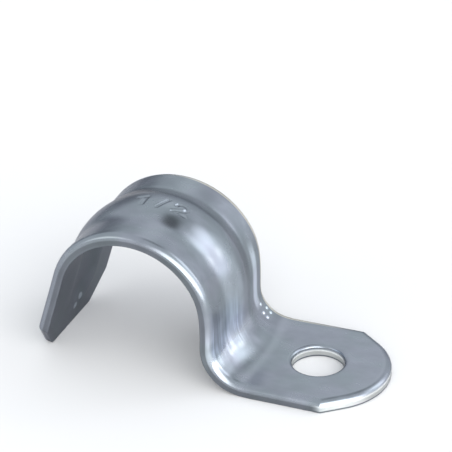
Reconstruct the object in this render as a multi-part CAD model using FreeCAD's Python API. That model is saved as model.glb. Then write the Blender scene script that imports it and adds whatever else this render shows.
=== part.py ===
import FreeCAD, Part
import math
import os

# One-hole conduit strap, pressed from one piece of zinc-plated steel sheet.
# Millimetres. The strap lies on the wall plane z = 0 with the centre of its screw
# hole at the origin. The conduit runs along Y, on the -X side of the screw.

V = FreeCAD.Vector
X = V(1, 0, 0)
Y = V(0, 1, 0)
Z = V(0, 0, 1)

# ---- driving sizes -------------------------------------------------------
sheet = 1.5            # sheet thickness
width = 16.9           # width of the strip, measured along the conduit
reach = 20.7           # screw to the middle of the conduit
saddle_r = 9.0         # inside radius of the arch, for conduit 17.9 mm across
saddle_z = 8.45        # height of the middle of the arch over the wall
heel_r = 4.2           # inside radius of the bend between riser and foot
leg_lean = 18.0        # lean of the free leg out from upright, degrees

hole_r = 3.2           # radius of the screw hole
end_off = 0.5          # centre of the foot's round end, past the screw
end_r = 8.3            # radius of the foot's round end
end_slope = 38.0       # slope of the flats that run into the round end, degrees
toe_flat = 10.6        # length of the straight edge at the toe
toe_clip = 3.7         # length of leg taken by the toe's clipped corners

rib_half = 4.3         # half width of the stiffening rib at its root
rib_h = 0.6            # how far the rib stands out of the strip
crown_r = 7.5          # radius over the top of the rib
rib_leg = 5.0          # run of the full rib down the free leg
blank_r = 0.5          # rounding of the outer face's edges, left by blanking

# ---- cutting allowances ----------------------------------------------------
land = 0.6             # plain metal between the end of the rib and a cut
spare = 3.0            # how far a cutting shape runs past the metal
clear = 2 * spare      # the same, for a cut that runs past on both sides
overrun = 3            # how many clips long the cut at a toe corner is
touching = 0.001       # distance at which an edge counts as on the outer face

# ---- sizes that follow ---------------------------------------------------
half = width / 2
back_r = saddle_r + sheet
heel_back_r = heel_r + sheet
heel_x = saddle_r + heel_back_r - reach
lean = math.radians(leg_lean)
slope = math.radians(end_slope)
leg_len = (saddle_z + saddle_r * math.sin(lean)) / math.cos(lean)
height = saddle_z + back_r

SADDLE = V(-reach, 0, saddle_z)
HEEL = V(heel_x, 0, heel_back_r)
DOWN = V(-math.sin(lean), 0, -math.cos(lean))    # down the free leg
OUT = V(-math.cos(lean), 0, math.sin(lean))      # square to the leg, outwards
LEG = SADDLE + OUT * saddle_r                    # where the arch becomes the leg
TOE = LEG + DOWN * leg_len
FOOT = V(end_off + end_r + spare, 0, 0)          # past the foot's end, trimmed later


def around(centre, radius, degrees):
    """Point on a circle in the XZ plane, angle from +X towards +Z."""
    a = math.radians(degrees)
    return centre + V(radius * math.cos(a), 0, radius * math.sin(a))


def arc(a, b, c):
    return Part.Arc(a, b, c).toShape()


def line(a, b):
    return Part.makeLine(a, b)


def wire(edges):
    return Part.Wire(Part.__sortEdges__(edges))


def flip(p):
    """The same point on the other side of the strap's middle plane."""
    return V(p.x, -p.y, p.z)


# ---- the plain strip: foot, heel, riser, arch and leg ---------------------
def long_edges(depth):
    """Side view of one face of the strip, at a depth under its outer face."""
    arch_r = back_r - depth
    bend_r = heel_r + depth
    top = V(0, 0, sheet - depth)
    lift = OUT * (arch_r - saddle_r)
    return [
        line(FOOT + top, V(heel_x, 0, 0) + top),
        arc(around(HEEL, bend_r, 270), around(HEEL, bend_r, 225), around(HEEL, bend_r, 180)),
        line(around(HEEL, bend_r, 180), around(SADDLE, arch_r, 0)),
        arc(around(SADDLE, arch_r, 0), around(SADDLE, arch_r, 90), LEG + lift),
        line(LEG + lift, TOE + lift),
    ]


ends = [line(TOE, TOE + OUT * sheet), line(FOOT, FOOT + Z * sheet)]
side_view = Part.Face(wire(long_edges(0) + long_edges(sheet) + ends))
side_view.translate(Y * -half)
strip = side_view.extrude(Y * width)

# plan of the foot: a round end, and a flat running off it to each side edge
END = V(end_off, 0, 0)
touch = END + V(end_r * math.sin(slope), end_r * math.cos(slope), 0)
corner = V(touch.x - (half - touch.y) / math.tan(slope), half, 0)
far = V(-reach - back_r - leg_len, half, 0)
plan = wire([
    line(far, corner),
    line(corner, touch),
    arc(touch, END + X * end_r, flip(touch)),
    line(flip(touch), flip(corner)),
    line(flip(corner), flip(far)),
    line(flip(far), far),
])
plan_block = Part.Face(plan).extrude(Z * (height + clear))
plan_block.translate(Z * -spare)
strip = strip.common(plan_block)

# clipped corners of the toe
step = Y * (toe_flat / 2 - half) + DOWN * toe_clip
start = LEG + DOWN * (leg_len - toe_clip) + Y * half - step
outside = start + step + Y * width
corners = [start, start + step * overrun, outside]
for pts in (corners, [flip(p) for p in corners]):
    tool = Part.Face(Part.makePolygon(pts + pts[:1])).extrude(OUT * (sheet + clear))
    tool.translate(OUT * -spare)
    strip = strip.cut(tool)

strip = strip.cut(Part.makeCylinder(hole_r, sheet + clear, Z * -spare, Z))

# blanking rounds every edge of the outer face
skin = wire(long_edges(0)).extrude(Y * (2 * width))
skin.translate(Y * -width)


def is_blanked(edge):
    mid = edge.valueAt((edge.FirstParameter + edge.LastParameter) / 2)
    crosses = abs(edge.Vertexes[0].Y - edge.Vertexes[-1].Y) > width - touching
    return not crosses and skin.distToShape(Part.Vertex(mid))[0] < touching


strip = strip.makeFillet(blank_r, [e for e in strip.Edges if is_blanked(e)])

# ---- the rib: an S shaped section pressed out of the middle of the strip ---
turn = 2 * math.atan(rib_h / rib_half)            # slope where root meets crown
root_r = rib_half / math.sin(turn) - crown_r


def half_section(origin, out, depth, sign):
    """Crown and root arcs of half the rib, at a depth under its outer face."""
    c_r = crown_r - depth
    r_r = root_r + depth
    crown = [(c_r * math.sin(a), rib_h - crown_r + c_r * math.cos(a)) for a in (0, turn / 2, turn)]
    root = [(rib_half - r_r * math.sin(a), root_r - r_r * math.cos(a)) for a in (turn, turn / 2, 0)]
    return [arc(*[origin + Y * (sign * y) + out * z for y, z in pts]) for pts in (crown, root)]


def section(origin, out, depth):
    return half_section(origin, out, depth, 1) + half_section(origin, out, depth, -1)


def cap(point, out):
    return line(point, point - out * sheet)


def rib_face(origin, out):
    caps = [cap(origin + Y * rib_half, out), cap(origin - Y * rib_half, out)]
    return Part.Face(wire(section(origin, out, 0) + section(origin, out, sheet) + caps))


def half_rib_face(origin, out):
    caps = [cap(origin + Y * rib_half, out), cap(origin + out * rib_h, out)]
    halves = half_section(origin, out, 0, 1) + half_section(origin, out, sheet, 1)
    return Part.Face(wire(halves + caps))


foot_side = rib_face(SADDLE + X * back_r, X)
arch = foot_side.revolve(SADDLE, -Y, 180 - leg_lean)
riser = foot_side.extrude(Z * (heel_back_r - saddle_z))
leg_face = rib_face(LEG + OUT * sheet, OUT)
leg = leg_face.extrude(DOWN * rib_leg)

# on the leg the rib stops in a round end
stop = LEG + OUT * sheet + DOWN * rib_leg
dome = half_rib_face(stop, OUT).revolve(stop, OUT, 180)
pad = rib_half + land
near_l = stop + Y * rib_half
far_l = near_l + DOWN * pad
pad_plan = wire([
    line(near_l, far_l),
    line(far_l, flip(far_l)),
    line(flip(far_l), flip(near_l)),
    arc(flip(near_l), stop + DOWN * rib_half, near_l),
])
leg_pad = Part.Face(pad_plan).extrude(OUT * -sheet)

# round the heel the rib keeps its lead in x, so it runs out level with the foot
rib_stop = heel_x + rib_h + land


def heel_side(bend_r, depth, way):
    """Everything on one side of the ribbed sheet round the heel."""
    begin = around(HEEL, bend_r, 180)
    path = Part.Wire([arc(begin, around(HEEL, bend_r, 225), around(HEEL, bend_r, 270))])
    root_l = begin + Y * rib_half
    far_r = root_l + X * way
    sides = [line(root_l, far_r), line(far_r, flip(far_r)), line(flip(far_r), flip(root_l))]
    pipe = Part.BRepOffsetAPI.MakePipeShell(path)
    pipe.setTrihedronMode(V(0, 0, 0), Z)
    pipe.add(wire(section(begin + X * depth, X, depth) + sides))
    pipe.build()
    pipe.makeSolid()
    return pipe.shape()


block_at = V(saddle_r - reach, -rib_half, 0)
heel = Part.makeBox(rib_stop - block_at.x, 2 * rib_half, heel_back_r, block_at)
heel = heel.cut(heel_side(heel_r, 0, heel_r + spare))
heel = heel.cut(heel_side(heel_back_r, sheet, -heel_back_r - spare))

# ---- swap the middle of the plain strip for the ribbed pieces --------------
slot_at = V(far.x, -rib_half, -spare)
slot = Part.makeBox(rib_stop - far.x, 2 * rib_half, height + clear, slot_at)
toe_end = stop + DOWN * pad - OUT * clear - Y * width
toe_end = [toe_end, toe_end + OUT * (2 * clear)]
toe_end += [p + DOWN * leg_len for p in reversed(toe_end)]
slot = slot.cut(Part.Face(Part.makePolygon(toe_end + toe_end[:1])).extrude(Y * (2 * width)))
strap = strip.cut(slot).multiFuse([arch, riser, leg, dome, leg_pad, heel])
strap = strap.removeSplitter().Solids[0]

os.makedirs("parts", exist_ok=True)
strap.exportStep("parts/strap.step")
print("strap valid:", strap.isValid(), "volume mm3:", round(strap.Volume, 2))
print("overall:", strap.optimalBoundingBox())
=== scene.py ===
# %% [markdown]
# # A one-hole conduit strap in zinc-plated steel
# An electrician slips this strap over a conduit and holds it to the wall with one screw. It is
# a single strip of sheet steel: blanked flat, ribbed down the middle so that it is stiff, and
# bent into an arch with a screw foot. Here it is made in the same order. A flat grid of points
# is laid out first, then raised along the rib, then bent, because a grid that follows the metal
# gives clean, flowing reflections, and reflections are most of what the eye sees of bare metal.

# %% Load the frame
import bpy
import math
import numpy as np
from mathutils import Matrix, Vector


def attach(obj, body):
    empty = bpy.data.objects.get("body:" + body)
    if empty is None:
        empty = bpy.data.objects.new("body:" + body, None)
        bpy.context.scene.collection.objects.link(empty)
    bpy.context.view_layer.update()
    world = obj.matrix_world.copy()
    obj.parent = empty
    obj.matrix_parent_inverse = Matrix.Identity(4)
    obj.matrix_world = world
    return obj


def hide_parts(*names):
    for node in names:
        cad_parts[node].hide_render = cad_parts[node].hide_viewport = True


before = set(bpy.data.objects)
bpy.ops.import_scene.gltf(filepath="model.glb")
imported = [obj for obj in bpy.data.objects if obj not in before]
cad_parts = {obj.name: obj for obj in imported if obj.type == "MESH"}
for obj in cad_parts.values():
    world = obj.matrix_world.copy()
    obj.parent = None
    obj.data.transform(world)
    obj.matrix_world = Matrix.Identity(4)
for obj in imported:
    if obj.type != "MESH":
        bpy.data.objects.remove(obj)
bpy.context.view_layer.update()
print("frame:", sorted(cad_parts))

# %% [markdown]
# ## The sizes of the strap
# All sizes are in millimetres. The screw hole is at the origin, the wall is z = 0, and
# the conduit runs along Y. The metal is 1.5 mm thick.

# %% Sizes in millimetres
MM = 0.001                          # one millimetre in metres
SHEET = 1.5                         # thickness of the metal
HALF = 16.9 / 2                     # half the width of the strip
REACH = 20.7                        # screw to the middle of the conduit
SADDLE_R = 9.0                      # inside radius of the arch
SADDLE_Z = 8.45                     # height of the middle of the arch
HEEL_R = 4.2                        # inside radius of the heel
LEAN = math.radians(18.0)           # lean of the free leg
HOLE_R = 3.2                        # radius of the screw hole
END_OFF = 0.5                       # middle of the foot's round end, past the screw
END_R = 8.3                         # radius of the foot's round end
END_SLOPE = math.radians(38.0)      # slope of the two flats beside it
TOE_HALF = 10.6 / 2                 # half the straight edge at the toe
TOE_CLIP = 3.7                      # length of leg that the clipped corners take
RIB_HALF = 4.3                      # half the width of the rib at its root
RIB_H = 0.6                         # height of the rib
CROWN_R = 9.8                       # radius over the top of the rib
RIB_LEG = 5.0                       # run of the full rib down the free leg
MID = SHEET / 2
HEEL_X = SADDLE_R + HEEL_R + SHEET - REACH
LEG_LEN = (SADDLE_Z + SADDLE_R * math.sin(LEAN)) / math.cos(LEAN)
print("free leg mm:", round(LEG_LEN, 2), "heel at x mm:", round(HEEL_X, 2))

# %% [markdown]
# ## The bent line
# Seen from the side, the strip is a chain of straight runs and arcs: leg, arch, riser, heel
# and foot. The chain is sampled closely and then slightly smoothed, because a press never
# makes a perfect change from straight to round, and a hard change would show as a
# line across every reflection.

# %% The side view as a line of points
STEP = 0.02            # spacing of the samples
BEND_SOFT = 0.45       # how far a change of bend is spread


def arc_points(cx, cz, r, a0, a1):
    """Points on a circle in the side view, from angle a0 to a1 in degrees."""
    count = max(2, int(abs(math.radians(a1 - a0)) * r / STEP))
    a = np.radians(np.linspace(a0, a1, count))
    return np.stack([cx + r * np.cos(a), cz + r * np.sin(a)], 1)


def run_points(a, b):
    """Points on a straight run."""
    n = max(2, int(math.dist(a, b) / STEP))
    return np.linspace(a, b, n)


arch = arc_points(-REACH, SADDLE_Z, SADDLE_R + MID, 180 - math.degrees(LEAN), 0)
heel = arc_points(HEEL_X, HEEL_R + SHEET, HEEL_R + MID, 180, 270)
toe_tip = arch[0] - LEG_LEN * np.array([math.sin(LEAN), math.cos(LEAN)])
foot_end = (END_OFF + END_R, MID)
runs = [run_points(toe_tip, arch[0]), arch, run_points(arch[-1], heel[0]), heel,
        run_points(heel[-1], foot_end)]
lengths = [float(np.linalg.norm(np.diff(r, axis=0), axis=1).sum()) for r in runs]
chain = np.concatenate([r[:-1] for r in runs] + [runs[-1][-1:]])


def soften(values, spread):
    """Blurs samples taken every STEP, and keeps the slope at both ends."""
    n = int(3 * spread / STEP)
    k = np.exp(-0.5 * (np.arange(-n, n + 1) * STEP / spread) ** 2)
    steps = np.arange(1, n + 1)[:, None]
    before = values[0] + (values[0] - values[1]) * steps[::-1]
    after = values[-1] + (values[-1] - values[-2]) * steps
    padded = np.concatenate([before, values, after])
    return np.stack([np.convolve(c, k / k.sum(), "valid") for c in padded.T], 1)


line = soften(chain, BEND_SOFT)
along = np.concatenate([[0], np.cumsum(np.linalg.norm(np.diff(chain, axis=0), axis=1))])
way = np.gradient(line, along, axis=0)
way /= np.linalg.norm(way, axis=1)[:, None]
normal = np.stack([-way[:, 1], way[:, 0]], 1)
LEG_TOP, ARCH_END, RISER_END, HEEL_END = np.cumsum(lengths)[:4]
FOOT_0 = HEEL_END - HEEL_X          # distance along the strip to the screw hole
print("developed length mm:", round(float(along[-1]), 2), "runs:", [round(v, 2) for v in lengths])

# %% [markdown]
# ## The rib and the small pressed marks
# A round-nosed punch raises the middle of the strip. Across the strip the rib is an S on each
# side: a crown, then a root that runs out flat. It dies away in a dome on the free leg and
# as a soft, wider mound in the heel. The rear root is pinched a little, and the thin dark line
# along it is painted shade in the colour.
# Bending also curls the long edges: up a little over the arch, down in the heel.
#
# In what follows, s is the distance along the strip from the toe, y is the distance across it,
# from the middle towards the rear, and t is the height in the sheet, 0 on its inner face.
#
# A size mark, 1/2, is stamped into the crown, and five tiny pips stand in the rear of the heel.
# All of these are real relief in the mesh, because each one bends the reflections round it.

# %% Section of the rib
TURN = 2 * math.atan(RIB_H / RIB_HALF)
ROOT_R = RIB_HALF / math.sin(TURN) - CROWN_R
ROOT_AT = CROWN_R * math.sin(TURN)      # where crown turns into root
RIB_SOFT = 0.15                         # how far that change is spread
HEEL_WIDER = 0.4                        # share by which the rib widens in the heel
PINCH_H, PINCH_IN, PINCH_W = 0.03, 0.2, 0.3
CURL_FROM, CURL_UP, CURL_DOWN = 2.5, 0.14, 0.2


def rib_profile(w):
    """Height of the rib at a distance w from its middle."""
    w = np.minimum(np.abs(w), RIB_HALF)
    crown = RIB_H - CROWN_R + np.sqrt(CROWN_R ** 2 - np.minimum(w, ROOT_AT) ** 2)
    root = ROOT_R - np.sqrt(ROOT_R ** 2 - np.minimum(RIB_HALF - w, ROOT_R) ** 2)
    return np.where(w < ROOT_AT, crown, root)


def ease(x, a, b):
    """0 before a, 1 after b, and smooth between."""
    t = np.clip((x - a) / (b - a), 0, 1)
    return t * t * t * (t * (6 * t - 15) + 10)


DOME = LEG_TOP - RIB_LEG
across = np.arange(0, HALF + 1, STEP)
both_sides = rib_profile(np.concatenate([-across[:0:-1], across]))
profile = soften(both_sides[:, None], RIB_SOFT)[len(across) - 1:, 0]
print("rib: height mm:", round(float(profile[0]), 3), "crown meets root at mm:", round(ROOT_AT, 2))

# %% The size mark and the pips
# strokes of the size mark, as points in a box one unit wide and one high
ONE = [(0.1, 0.75), (0.55, 1.0), (0.55, 0.0)]
BAR = [(0.25, -0.05), (0.75, 1.05)]
TWO = [(0.0, 0.7), (0.1, 0.9), (0.35, 1.0), (0.65, 1.0), (0.9, 0.88), (0.95, 0.68), (0.8, 0.45),
       (0.0, 0.0), (1.0, 0.0)]
MARK_S, MARK_Y = 22.3, -1.0                       # corner of the first box
MARK_W, MARK_H, MARK_STEP = 1.4, 1.9, 2.15        # width, height and spacing of the boxes
MARK_DEPTH, MARK_FLAT, MARK_OUT = 0.16, 0.1, 0.34  # depth, and half widths at floor and rim
PIPS = [(44.6, 6.4), (45.7, 7.1), (45.76, 5.9), (46.56, 7.0), (46.6, 5.83)]
PIP_R, PIP_H = 0.34, 0.07
FAR_OFF = 9.0                                     # further than any stroke reaches


def near_stroke(s, y, a, b):
    """Distance in the flat strip from points to a stroke from a to b."""
    d = (b[0] - a[0], b[1] - a[1])
    k = np.clip(((s - a[0]) * d[0] + (y - a[1]) * d[1]) / (d[0] ** 2 + d[1] ** 2), 0, 1)
    return np.hypot(s - a[0] - k * d[0], y - a[1] - k * d[1])


def marks(s, y):
    """Height of the stamped mark, which is sunk, and of the pips, which stand up."""
    away = np.full(np.shape(s), FAR_OFF)
    for i, glyph in enumerate((ONE, BAR, TWO)):
        left = MARK_S + i * MARK_STEP
        pts = [(left + u * MARK_W, MARK_Y + v * MARK_H) for u, v in glyph]
        for a, b in zip(pts, pts[1:]):
            away = np.minimum(away, near_stroke(s, y, a, b))
    up = sum(1 - ease(np.hypot(s - a, y - b), 0, PIP_R) for a, b in PIPS)
    return PIP_H * up - MARK_DEPTH * (1 - ease(away, MARK_FLAT, MARK_OUT))


print("pip height mm:", round(float(marks(*PIPS[0])), 3))

# %% Height of the press over the flat strip
def rise(s, y):
    """How far the press lifts the strip at s along it and y across it."""
    w = np.hypot(np.maximum(DOME - s, 0), y)
    w = w / (1 + HEEL_WIDER * ease(s, RISER_END - 2, HEEL_END))
    pinch = PINCH_H * np.exp(-((w - RIB_HALF + PINCH_IN) / PINCH_W) ** 2) * ease(y, 0, 3)
    rib = (np.interp(w, across, profile) - pinch) * (1 - ease(s, RISER_END + 2, HEEL_END + 1))
    arched = ease(s, LEG_TOP - 2, LEG_TOP + 5) * (1 - ease(s, ARCH_END - 5, ARCH_END))
    heeled = ease(s, RISER_END - 2, RISER_END + 3) * (1 - ease(s, HEEL_END - 4, HEEL_END))
    side = np.clip((np.abs(y) - CURL_FROM) / (HALF - CURL_FROM), 0, 1) ** 2
    return rib + side * (CURL_UP * arched - CURL_DOWN * heeled) + marks(s, y)


print("rise over the middle of the arch mm:", round(float(rise(np.array(25.0), np.array(3.0))), 3))

# %% [markdown]
# ## The blank
# The flat blank is drawn as a ring of points that can be drawn again further in. The rings
# nearest the edge carry the rounding that a blanking die leaves on the outer face, about
# 1 mm wide, with a much smaller one on the inner face. The points lie closer together where
# there is fine relief: under the size mark and round the pips.

# %% Spacing of the points
ROLL, DROP = 0.95, 0.7                # rounding of the outer edges: in from the edge, and down
HOLE_ROLL, HOLE_DROP = 0.5, 0.35      # the same at the screw hole
BURR = 0.08                           # rounding of the inner face's edges
CORNER = 0.35                         # radius of the outline's corners
RINGS = [1 - math.cos(math.radians(a)) for a in np.linspace(0, 90, 10)]   # shares of ROLL
N_CLIP, N_FOOT, N_FLAT, N_ROUND, N_CORNER = 14, 30, 11, 28, 5             # points per stretch
X_PATCH = -5.2                        # where the rows stop and the circles round the hole begin


def stations(knots):
    """Positions from 0 to 1, from a list of (start, spacing) that closes with (end, None)."""
    spans = [np.linspace(a, b, max(2, round((b - a) / gap)) + 1)[:-1]
             for (a, gap), (b, _) in zip(knots, knots[1:])]
    out = np.concatenate(spans + [[knots[-1][0]]])
    return (out - out[0]) / (out[-1] - out[0])


# fine under the size mark (s 22.4 to 29.4, y up to 2.1) and round the pips (s 44 to 47.2)
v_fr = stations([(0, 0.1), (2.1, 0.3), (5.3, 0.13), (HALF - ROLL, None)])
side_fr = stations([(4.0, 0.32), (22.4, 0.1), (29.4, 0.3), (44.0, 0.12), (47.2, 0.3),
                    (X_PATCH + FOOT_0, None)])[:, None]
print("points across half the strip:", len(v_fr), "and along it:", len(side_fr))

# %% Corners of the outline
def meet(p, u, q, v):
    """Where the line through p along u meets the line through q along v."""
    k = np.linalg.solve(np.array([[u[0], -v[0]], [u[1], -v[1]]]), np.array(q) - np.array(p))
    return np.array(p) + k[0] * np.array(u)


# directions along and in from the toe's clipped corner and the foot's flat
clip_way = np.array([TOE_CLIP, HALF - TOE_HALF]) / math.hypot(TOE_CLIP, HALF - TOE_HALF)
clip_in = np.array([clip_way[1], -clip_way[0]])
flat_way = np.array([math.cos(END_SLOPE), -math.sin(END_SLOPE)])
flat_in = np.array([-math.sin(END_SLOPE), -math.cos(END_SLOPE)])
centre = np.array([END_OFF + FOOT_0, 0.0])
touch = centre - END_R * flat_in


def corners(d):
    """Corners of the outline, drawn a distance d in from the edge."""
    tip = meet((d, 0), (0, 1), np.array([0, TOE_HALF]) + clip_in * d, clip_way)
    shoulder = meet((0, HALF - d), (1, 0), np.array([0, TOE_HALF]) + clip_in * d, clip_way)
    foot = meet((0, HALF - d), (1, 0), touch + flat_in * d, flat_way)
    return tip, shoulder, foot


print("toe corner, shoulder, foot corner:", [[round(float(v), 2) for v in c] for c in corners(0)])

# %% The outline, at any distance in from its edge
def rounded(i, d, a0, a1):
    """Points of a corner with its small radius, from direction a0 to a1 in degrees."""
    c = corners(max(d, CORNER))[i]
    a = np.radians(np.linspace(a0, a1, N_CORNER + 1))
    return c + max(CORNER - d, 0) * np.stack([np.cos(a), np.sin(a)], 1)


def outline(d):
    """Half the outline as a list of stretches, from the middle of the toe to the foot's end."""
    clip = math.degrees(math.atan2(-clip_in[1], -clip_in[0]))
    flat = math.degrees(math.atan2(-flat_in[1], -flat_in[0]))
    r0 = rounded(0, d, 180, clip)
    r1 = rounded(1, d, clip, 90)
    r2 = rounded(2, d, 90, flat)
    gate = np.array([X_PATCH + FOOT_0, HALF - d])
    end = centre - (END_R - d) * flat_in
    a = np.linspace(math.radians(flat), 0, N_ROUND + 1)
    return [
        np.array([d, 0]) + np.outer(v_fr, r0[0] - np.array([d, 0])),
        r0,
        np.linspace(r0[-1], r1[0], N_CLIP + 1),
        r1,
        r1[-1] + side_fr * (gate - r1[-1]),
        np.linspace(gate, r2[0], N_FOOT + 1),
        r2,
        np.linspace(r2[-1], end, N_FLAT + 1),
        centre + (END_R - d) * np.stack([np.cos(a), np.sin(a)], 1),
    ]


def mirrored(points):
    """The same points on the other side of the strip's middle."""
    return points * np.array([1, -1])


print("half outline:", sum(len(s) for s in outline(0)), "points in", len(outline(0)), "stretches")

# %% [markdown]
# ## Filling the blank with a grid
# The strip is filled with rows across it. Round the screw hole the grid turns into circles,
# so that the hole's rim is truly round. Each patch is a small table of points.

# %% Flat rows and circles of points
def loop(stretches):
    """One closed ring from the stretches of half of it."""
    half_ring = np.concatenate([s[:-1] for s in stretches] + [stretches[-1][-1:]])
    return np.concatenate([half_ring, mirrored(half_ring)[-2:0:-1]])


def top_t(share, drop):
    """Height of the outer face, at a share of the way in over the rounding."""
    return SHEET - drop + drop * math.sqrt(max(1 - (1 - share) ** 2, 0))


def low_t(share, drop):
    """Height of the inner face; its rounding is much smaller."""
    d = share * ROLL
    return BURR - math.sqrt(max(BURR ** 2 - max(BURR - d, 0) ** 2, 0))


inner = outline(ROLL)
left = np.concatenate([inner[2][:-1], inner[4]])
width_fr = np.concatenate([-v_fr[:0:-1], v_fr])
rows = np.stack([np.stack([np.full(len(width_fr), p[0]), p[1] * width_fr], 1) for p in left])
rows[0] = np.concatenate([mirrored(inner[0])[:0:-1], inner[0]])

gate_row = rows[-1][:-1]
foot_side, foot_flat, foot_end_arc = inner[5], inner[7], inner[8]    # the corner has no length here
round_foot = np.concatenate([foot_side[:-1], foot_flat[:-1], foot_end_arc])
foot_ring = np.concatenate([gate_row, round_foot, mirrored(round_foot)[-2:0:-1]])
hole = np.array([FOOT_0, 0.0])
spoke = foot_ring - hole
spoke /= np.linalg.norm(spoke, axis=1)[:, None]
rim = hole + spoke * (HOLE_R + HOLE_ROLL)
LEVELS = 22                            # circles from the foot's outline in to the hole's rim
foot_rows = np.stack([foot_ring + (rim - foot_ring) * k for k in np.linspace(0, 1, LEVELS)])
edge_rings = np.stack([loop(outline(k * ROLL)) for k in RINGS])
hole_rings = np.stack([hole + spoke * (HOLE_R + k * HOLE_ROLL) for k in RINGS])
print("rows:", len(rows), "circles round the hole:", len(foot_rows), "of", len(foot_ring), "points")

# %% Patches bent into place
def point(s, y, t):
    """Bends a point of the pressed strip into place: s along it, y across it, t up through it."""
    x0, z0, out_x, out_z = (np.interp(s, along, c) for c in (*line.T, *normal.T))
    lift = t - MID + rise(s, y)
    return np.stack([x0 + out_x * lift, y, z0 + out_z * lift], -1)


WALL_ROWS = 5                          # rows of points down a sheared edge
verts, faces, flat_at = [], [], []


def add_patch(sy, t, closed=False, flip=False):
    """Adds a table of points (rows, columns, 2) at heights t and joins them with faces."""
    base = sum(len(v) for v in verts)
    t = np.broadcast_to(t, sy.shape[:2])
    verts.append(point(sy[..., 0].ravel(), sy[..., 1].ravel(), t.ravel()))
    flat_at.append(np.concatenate([sy.reshape(-1, 2), t.reshape(-1, 1)], 1))
    r, c = sy.shape[:2]
    index = base + np.arange(r * c).reshape(r, c)
    if closed:
        index = np.concatenate([index, index[:, :1]], 1)
    quads = np.stack([index[:-1, :-1], index[:-1, 1:], index[1:, 1:], index[1:, :-1]], -1)
    quads = quads.reshape(-1, 4)
    faces.append(quads[:, ::-1] if flip else quads)


for height, turned in ((top_t, False), (low_t, True)):
    full = height(1, DROP)
    edge_t, hole_t = (np.array([[height(k, d)] for k in RINGS]) for d in (DROP, HOLE_DROP))
    add_patch(rows, full, flip=not turned)
    add_patch(foot_rows, full, closed=True, flip=not turned)
    add_patch(edge_rings, edge_t, closed=True, flip=not turned)
    add_patch(hole_rings, hole_t, closed=True, flip=turned)
for ring, drop, turned in ((edge_rings[0], DROP, False), (hole_rings[0], HOLE_DROP, True)):
    wall = np.linspace(top_t(0, drop), low_t(0, drop), WALL_ROWS)[:, None]
    add_patch(np.stack([ring] * WALL_ROWS), wall, closed=True, flip=turned)
print("points before joining:", sum(len(v) for v in verts))

# %% [markdown]
# ## One closed skin
# The patches meet along shared points. Points that lie together are merged, so the strap is
# one closed skin with no seams. Each point also keeps its place in the flat blank, s and y, and
# its height in the sheet. The finish uses these, because rubbing and shearing follow the strip.

# %% Join the patches
WELDS = 2000         # merging cells per mm
CELL_SHIFT = 0.137   # keeps round sizes, such as y = 0, away from the borders of the cells


def weld(points, quads, extra):
    """Merges points that lie together, and drops faces that this closes up."""
    cells = np.round(points * WELDS + CELL_SHIFT).astype(np.int64)
    _, first, same = np.unique(cells, axis=0, return_index=True, return_inverse=True)
    same = same.ravel()
    out = []
    for q in same[quads]:
        q = [int(v) for i, v in enumerate(q) if v != q[i - 1]]
        if len(set(q)) > 2:
            out.append(q)
    return points[first], out, extra[first]


skin, skin_faces, skin_flat = weld(*(np.concatenate(v) for v in (verts, faces, flat_at)))
mesh = bpy.data.meshes.new("strap_metal")
mesh.from_pydata((skin * MM).tolist(), [], skin_faces)
mesh.validate()
mesh.shade_smooth()
uv = mesh.uv_layers.new(name="blank")
corner_verts = np.zeros(len(mesh.loops), np.int32)
mesh.loops.foreach_get("vertex_index", corner_verts)
uv.data.foreach_set("uv", (skin_flat[corner_verts, :2] * MM).astype(np.float32).ravel())
depth = mesh.attributes.new("depth", "FLOAT", "POINT")
depth.data.foreach_set("value", skin_flat[:, 2].astype(np.float32))
strap = bpy.data.objects.new("strap_metal", mesh)
bpy.context.scene.collection.objects.link(strap)
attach(strap, "root")
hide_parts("strap")
print("strap:", len(mesh.vertices), "points,", len(mesh.polygons), "faces")

# %% [markdown]
# ## Bright zinc plating
# Zinc plating follows the steel closely, so it shows rolled, rubbed and sheared steel
# differently. One material does all of it, from the place of each point in the flat strip.
# - On the outer face it is a cool grey metal with soft reflections and faint cloudiness.
# - In the heel the tools have rubbed it in lines that follow the strip, and the riser there is
#   also painted brighter as a highlight. A narrow stripe behind the rib is a painted highlight.
# - The inner face is duller, and its colour is painted darker as shade.
# - The sheared edges are rougher, with short lines through the sheet's thickness. The cut at
#   the foot's end and the wall of the hole are burnished by the punch, and their colour is also
#   painted much brighter as a highlight, brightest at the front.
# - Along the rear rib root and behind the crown the colour is painted darker as shade, and the
#   rear edge carries a thin warm painted highlight. Smaller painted highlights lie on the rib's
#   front slope, the heel's front edge, the pips and two spots inside the toe, and a painted dark
#   reflection lies beside the size mark.

# %% Colour and node helpers
def lin(code):
    """An sRGB hex colour as linear RGBA."""
    out = []
    for i in (0, 2, 4):
        c = int(code[i:i + 2], 16) / 255
        out.append(c / 12.92 if c <= 0.04045 else ((c + 0.055) / 1.055) ** 2.4)
    return (*out, 1.0)


def node(tree, kind, inputs=None, **settings):
    """Adds a node, sets its properties and fills its inputs with values or links."""
    n = tree.nodes.new(kind)
    for key, value in settings.items():
        setattr(n, key, value)
    for key, value in (inputs or {}).items():
        if isinstance(value, bpy.types.NodeSocket):
            tree.links.new(value, n.inputs[key])
        else:
            n.inputs[key].default_value = value
    return n


print("8d959b, the grey of the zinc, in linear light:", [round(c, 3) for c in lin("8d959b")[:3]])

# %% [markdown]
# ### Numbers that follow the strip
# The flat place of a point is in the mesh: s and y in the map "blank", t in the attribute
# "depth". All are turned to millimetres here. A mask is a number from 0 to 1 that says where one
# finish lies, and masks that are multiplied overlap.

# %% Masks over the strip
zinc = bpy.data.materials.new("zinc_plated_steel")
zinc.use_nodes = True
zt = zinc.node_tree
bsdf = zt.nodes["Principled BSDF"]


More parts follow.
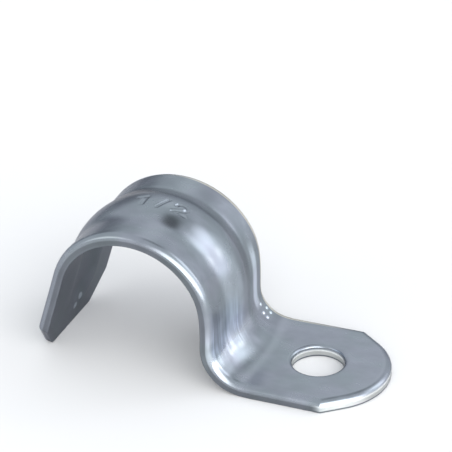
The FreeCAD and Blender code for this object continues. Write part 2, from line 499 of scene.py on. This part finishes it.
def step(value, a, b, low=0.0, high=1.0):
    """low where value is under a, high where it is over b, and smooth between."""
    return node(zt, "ShaderNodeMapRange", {
        "Value": value, "From Min": a, "From Max": b, "To Min": low, "To Max": high,
    }, interpolation_type="SMOOTHSTEP").outputs["Result"]


def calc(op, a, b=0.0):
    """One step of arithmetic on two numbers or sockets."""
    return node(zt, "ShaderNodeMath", {0: a, 1: b}, operation=op).outputs["Value"]


def times(*values):
    """The product of all the values."""
    out = values[0]
    for v in values[1:]:
        out = calc("MULTIPLY", out, v)
    return out


def band(value, a, b, c, d):
    """1 where value is between b and c, fading to 0 at a and d."""
    return times(step(value, a, b), step(value, c, d, 1, 0))


def noise(stretch, detail):
    """Noise over the strip; stretch gives cycles per mm along, across and through it."""
    at = node(zt, "ShaderNodeVectorMath", {0: place, 1: stretch}, operation="MULTIPLY")
    grains = {"Vector": at.outputs["Vector"], "Scale": 1.0, "Detail": detail}
    return node(zt, "ShaderNodeTexNoise", grains).outputs["Fac"]


def distance(at, centre):
    """Distance in mm from a place on the strip to a fixed point."""
    off = node(zt, "ShaderNodeVectorMath", {0: at, 1: centre}, operation="DISTANCE")
    return off.outputs["Value"]


def spots(centres, radius, core=0.5):
    """1 over the core of each small round spot, fading to 0 at its radius in mm."""
    out = None
    for a, b in centres:
        here = step(distance(flat_place, (a, b, 0.0)), radius * core, radius, 1, 0)
        out = here if out is None else calc("MAXIMUM", out, here)
    return out


blank_uv = node(zt, "ShaderNodeUVMap", uv_map="blank").outputs["UV"]
sy = node(zt, "ShaderNodeSeparateXYZ", {0: blank_uv})
s_mm = times(sy.outputs["X"], 1 / MM)
y_mm = times(sy.outputs["Y"], 1 / MM)
t_mm = node(zt, "ShaderNodeAttribute", attribute_name="depth").outputs["Fac"]
place = node(zt, "ShaderNodeCombineXYZ", {0: s_mm, 1: y_mm, 2: t_mm}).outputs["Vector"]
flat_place = node(zt, "ShaderNodeCombineXYZ", {0: s_mm, 1: y_mm}).outputs["Vector"]
print("places on the strip:", len(zt.nodes), "nodes")

# %% [markdown]
# ### Where each finish lies
# Each mask is a patch of the flat strip in millimetres, at the place where the tools touched the
# metal or where a highlight or shade is painted into the colour. The patterns have the sizes of
# the real ones, but the grain and the lines of shear, a few hundredths of a millimetre on the real
# sheet, are drawn coarser to show.

# %% Where each finish lies
STRIPE_Y = 5.75                             # middle of the stripe of painted highlight, 1.2 mm wide
TOE_SPOTS = [(2.9, -0.3), (3.7, 0.9)]       # two small painted highlights inside the toe
DARK_REFLECTION_SPOT = [(27.2, -2.7)]                  # a small painted dark reflection beside the size mark
HEEL_HIGHLIGHT = [(43.2, -5.0), (43.8, -7.2)]   # painted highlight on the front edge of the heel

# the two faces, the sheared edges, and the cuts that the punch burnished, which carry a painted
# highlight
outer = step(t_mm, 0.1, 0.3)
inner_face = step(outer, 0, 1, 1, 0)
edge = times(outer, step(t_mm, 0.6, 0.85, 1, 0))
hole_wall = step(distance(place, (FOOT_0, 0.0, 0.7)), HOLE_R + 0.15, HOLE_R + 0.4, 1, 0)
burnished = calc("MAXIMUM", step(s_mm, 57.5, 60.0), hole_wall)
cut_highlight = times(outer, step(t_mm, 0.8, 1.1, 1, 0), burnished)
cut_highlight_front = times(cut_highlight, step(y_mm, -7.0, -3.0, 1, 0))

# rubbed by the tools in lines over the front half of the riser and heel; the riser is also
# painted brighter as a highlight, and the stripe is a painted highlight
lines = step(noise((0.1, 2.4, 0.3), 3.0), 0.4, 0.68)
front = step(y_mm, -1.5, 1.5, 1, 0)
middle = times(band(s_mm, 37.0, 42.0, 44.0, 46.4), step(y_mm, 1.0, 4.0, 1, 0))
off_stripe = calc("ABSOLUTE", calc("SUBTRACT", y_mm, STRIPE_Y))
stripe = times(band(s_mm, 35.0, 37.5, 43.6, 45.2), step(off_stripe, 0.3, 0.9, 1, 0))
rubbed_and_highlight = calc("ADD", times(middle, calc("ADD", times(lines, front), 0.6)), times(stripe, 1.5))
rubbed_and_highlight = times(rubbed_and_highlight, outer, step(edge, 0, 1, 1, 0))

# larger patches: painted highlights on the rib's front slope and the rear edge, painted shade
# on the rear root and the rear of the crown
slope = times(band(s_mm, 32.5, 36.0, 42.0, 45.0), band(y_mm, -4.6, -3.0, -0.5, 1.5))
rear_edge_highlight = times(step(t_mm, 0.7, 0.9), step(y_mm, 7.4, 7.7), band(s_mm, 20.0, 28.0, 50.0, 60.0))
root = times(band(s_mm, 15.0, 18.0, 37.0, 41.0), band(y_mm, 2.0, 2.8, 3.9, 4.6))
behind = times(band(s_mm, 9.0, 16.0, 19.0, 24.0), band(y_mm, -0.5, 1.5, 3.2, 4.4), outer)
riser = times(band(s_mm, 36.0, 40.0, 42.0, 44.6), outer)

clouds = noise((0.35, 0.5, 0.4), 4.0)       # cloudy patches about 2 to 3 mm across
waves = noise((0.3, 0.45, 0.3), 0.0)        # the same size, smooth, for the waviness
grain = noise((5.0, 7.0, 5.0), 1.0)         # grain of the rolled sheet, 0.2 mm
shear = noise((4.0, 4.0, 0.5), 2.0)         # lines through the thickness, 0.25 mm apart
hues = noise((0.2, 0.3, 0.2), 2.0)          # slow change of hue, 3 to 5 mm
print("masks and patterns:", len(zt.nodes), "nodes in all")

# %% [markdown]
# ### Colour
# The colour is one cool grey, drifting a little between green and blue, times one brightness
# for each finish and for each painted highlight or shade. Where the painted highlights of the
# rear edge and the burnished cuts lie, the grey turns warmer.

# %% Colour of the zinc
FACTORS = [                       # how much brighter or darker each finish, painted highlight or painted shade is
    (edge, 0.6),                                            # sheared, so rougher and dark
    (cut_highlight, 3.0),                                           # burnished by the punch, and painted much brighter as a highlight
    (cut_highlight_front, 1.55),                                    # painted highlight, brightest at the cut's front end
    (rear_edge_highlight, 2.0),                                            # painted highlight along the rounding of the rear edge
    (times(spots(HEEL_HIGHLIGHT, 2.4, 0.1), outer), 1.45),      # painted highlight on the heel's front edge
    (slope, 1.25),                                          # painted highlight down the rib's front slope
    (times(spots(PIPS, PIP_R), outer), 1.9),                # painted highlights on the tops of the pips
    (times(spots(TOE_SPOTS, 0.6), inner_face), 2.2),        # two painted highlights
    (times(spots(DARK_REFLECTION_SPOT, 1.8, 0.0), outer), 0.45),       # painted dark reflection
    (root, 0.76),                                           # painted shade along the crease of the rear root
    (behind, 0.62),                                         # painted shade on the rear of the crown
]
# the inner face is painted darker as shade (0.66 of the outer face)
bright = times(step(outer, 0, 1, 0.66, 1.0), step(clouds, 0.25, 0.75, 0.92, 1.07),
               # rubbed lines, with the riser and the stripe painted brighter as highlights
               calc("ADD", times(rubbed_and_highlight, 0.75), 1.0),
               *(step(mask, 0, 1, 1.0, factor) for mask, factor in FACTORS))
tint = node(zt, "ShaderNodeMix", {"Factor": step(hues, 0.35, 0.65), "A": lin("8d959b"),
                                  "B": lin("9297a0")}, data_type="RGBA").outputs[2]
# warmer tint under the painted highlights of the rear edge and the burnished cuts
warmth = calc("MAXIMUM", rear_edge_highlight, times(cut_highlight, 0.5))
warm = node(zt, "ShaderNodeMix", {"Factor": warmth, "A": tint, "B": lin("9d9a90")},
            data_type="RGBA").outputs[2]
colour = node(zt, "ShaderNodeVectorMath", {0: warm, "Scale": bright}, operation="SCALE")
print("colour:", len(FACTORS), "finishes,", len(zt.nodes), "nodes in all")

# %% [markdown]
# ### Gloss and relief
# Bare zinc is all metal, with no clear layer over it. Its reflections are softest on the
# sheared edges, on the inner face and on the riser, which the tool has scuffed. The relief is only
# hundredths of a millimetre high, and yet it breaks up the reflections as real sheet does.

# %% Gloss and relief
scuffed = calc("ADD", times(edge, 0.08), times(riser, 0.16))
rough = calc("ADD", step(clouds, 0.3, 0.7, 0.21, 0.28), scuffed)
rough = calc("ADD", rough, step(outer, 0, 1, 0.15, 0))

# heights in units of 0.01 mm
fine = calc("ADD", times(lines, middle, front, outer, 0.5), times(shear, edge, 0.6))
relief = calc("ADD", calc("ADD", times(grain, 0.05), fine), times(waves, 0.8))
bump = node(zt, "ShaderNodeBump", {"Height": relief, "Strength": 1.0, "Distance": 0.01 * MM})

zt.links.new(colour.outputs["Vector"], bsdf.inputs["Base Color"])    # cool grey, brighter if rubbed
zt.links.new(rough, bsdf.inputs["Roughness"])                        # soft, slightly uneven gloss
zt.links.new(bump.outputs["Normal"], bsdf.inputs["Normal"])          # waviness and grain
bsdf.inputs["Metallic"].default_value = 1                            # bare metal, no paint
bsdf.inputs["Specular Tint"].default_value = lin("c4c4c8")           # less glare at a low slant
mesh.materials.append(zinc)
print("finish:", zinc.name, len(zt.nodes), "nodes")

# %% [markdown]
# ## The floor
# A plain pale sheet of paper takes a soft shadow, so the strap sits on something.

# %% Floor
FLOOR_SIDE = 4.0                # metres, so that its edge is out of sight
FLOOR_DROP = 0.02               # mm under the wall plane, so that the two do not flicker
bpy.ops.mesh.primitive_plane_add(size=FLOOR_SIDE, location=(0, 0, -FLOOR_DROP * MM))
floor = bpy.context.object
floor.name = "floor"
paper = bpy.data.materials.new("white_paper")
paper.use_nodes = True
pb = paper.node_tree.nodes["Principled BSDF"]
pb.inputs["Base Color"].default_value = lin("d4d4d4")       # reads as white under the studio light
pb.inputs["Roughness"].default_value = 0.9                  # matt, so no reflection of the strap
pb.inputs["Specular IOR Level"].default_value = 0.0
floor.data.materials.append(paper)
print("floor at z mm:", round(floor.location.z / MM, 3))

# %% [markdown]
# ## The studio
# Metal looks like whatever is round it. The studio is an even pale surround, and each patch in
# the list adds a soft round light to it, or takes light away where its numbers are negative. The
# large patch in front whitens the rolled edges. The smaller ones on the right make the highlight
# down the rib and the glint in the heel. Those behind give the greys of the foot and the arch.

# %% Lights
SURROUND = (0.98, 1.02, 1.07)
PATCHES = [      # bearing, height, core and reach in degrees, then the red, green and blue added
    (-45, 15, 18, 50, (3.9, 3.85, 3.8)),        # main light: the rolled edges and the foot's end
    (20, 20, 10, 36, (0.9, 0.92, 1.0)),         # wide soft light down the rib
    (41, 37, 4, 17, (1.4, 1.42, 1.52)),         # the highlight in it
    (37, 18, 1, 7, (2.6, 2.5, 2.4)),            # glint in the heel
    (-82, 0, 6, 24, (2.2, 2.16, 2.1)),          # front edge on the right of the arch
    (-135, 28, 6, 24, (1.1, 1.07, 1.02)),       # front edge on the left of the arch
    (100, 36, 3, 11, (0.3, 0.3, 0.3)),          # foot, and the arch on both sides of the rib
    (73, 44, 2, 8, (-0.3, -0.3, -0.3)),         # shade where the heel runs into the foot
    (133, 5, 8, 23, (-0.5, -0.51, -0.51)),      # shade on the left of the arch
    (98, 0, 10, 20, (-0.4, -0.4, -0.4)),        # shade on the rear of the crown
    (79, 61, 7, 14, (-0.5, -0.51, -0.53)),      # dark spot beside the size mark
]
world = bpy.data.worlds.new("studio")
bpy.context.scene.world = world
world.use_nodes = True
wt = world.node_tree
sky = wt.nodes["Background"]
seen = node(wt, "ShaderNodeTexCoord").outputs["Generated"]


def glow(total, lon, lat, core, reach, colour):
    """Adds a soft round patch of light to the walls of the studio."""
    lon, lat = math.radians(lon), math.radians(lat)
    aim = (math.cos(lon) * math.cos(lat), math.sin(lon) * math.cos(lat), math.sin(lat))
    dot = node(wt, "ShaderNodeVectorMath", {0: seen, 1: aim}, operation="DOT_PRODUCT")
    soft = node(wt, "ShaderNodeMapRange", {
        "Value": dot.outputs["Value"],
        "From Min": math.cos(math.radians(reach)), "From Max": math.cos(math.radians(core)),
    }, interpolation_type="SMOOTHSTEP").outputs["Result"]
    patch = node(wt, "ShaderNodeVectorMath", {0: colour, "Scale": soft}, operation="SCALE")
    both = {0: total, 1: patch.outputs["Vector"]}
    return node(wt, "ShaderNodeVectorMath", both, operation="ADD").outputs["Vector"]


light = SURROUND
for patch in PATCHES:
    light = glow(light, *patch)
wt.links.new(light, sky.inputs["Color"])
sky.inputs["Strength"].default_value = 1.0
print("studio:", len(PATCHES), "patches,", len(wt.nodes), "nodes in the world")

# %% [markdown]
# ## The camera
# The view is from the front right, a little under 30 degrees above the wall plane, from about
# 0.22 m with a long lens, so that the perspective is mild.

# %% Camera
AZIMUTH, ELEVATION, ROLL_DEG = 22.5529, 28.9129, -1.486
CAMERA_AT = Vector((62.2149, -177.4679, 123.848)) * MM
LENS = 148.8                    # mm
SENSOR = 36                     # mm
a, e = math.radians(AZIMUTH), math.radians(ELEVATION)
back = Vector((math.sin(a) * math.cos(e), -math.cos(a) * math.cos(e), math.sin(e)))
right = Vector((math.cos(a), math.sin(a), 0))
up = back.cross(right)
turn = Matrix((right, up, back)).transposed().to_4x4()
turn = turn @ Matrix.Rotation(math.radians(ROLL_DEG), 4, "Z")
camera_data = bpy.data.cameras.new("camera")
camera_data.sensor_width = SENSOR
camera_data.lens = LENS
camera_data.clip_start = 0.01
camera = bpy.data.objects.new("camera", camera_data)
bpy.context.scene.collection.objects.link(camera)
camera.matrix_world = Matrix.Translation(CAMERA_AT) @ turn
bpy.context.scene.camera = camera
bpy.context.scene.view_settings.view_transform = "Standard"
print("camera at mm:", [round(v / MM, 1) for v in camera.location], "lens mm:", LENS)
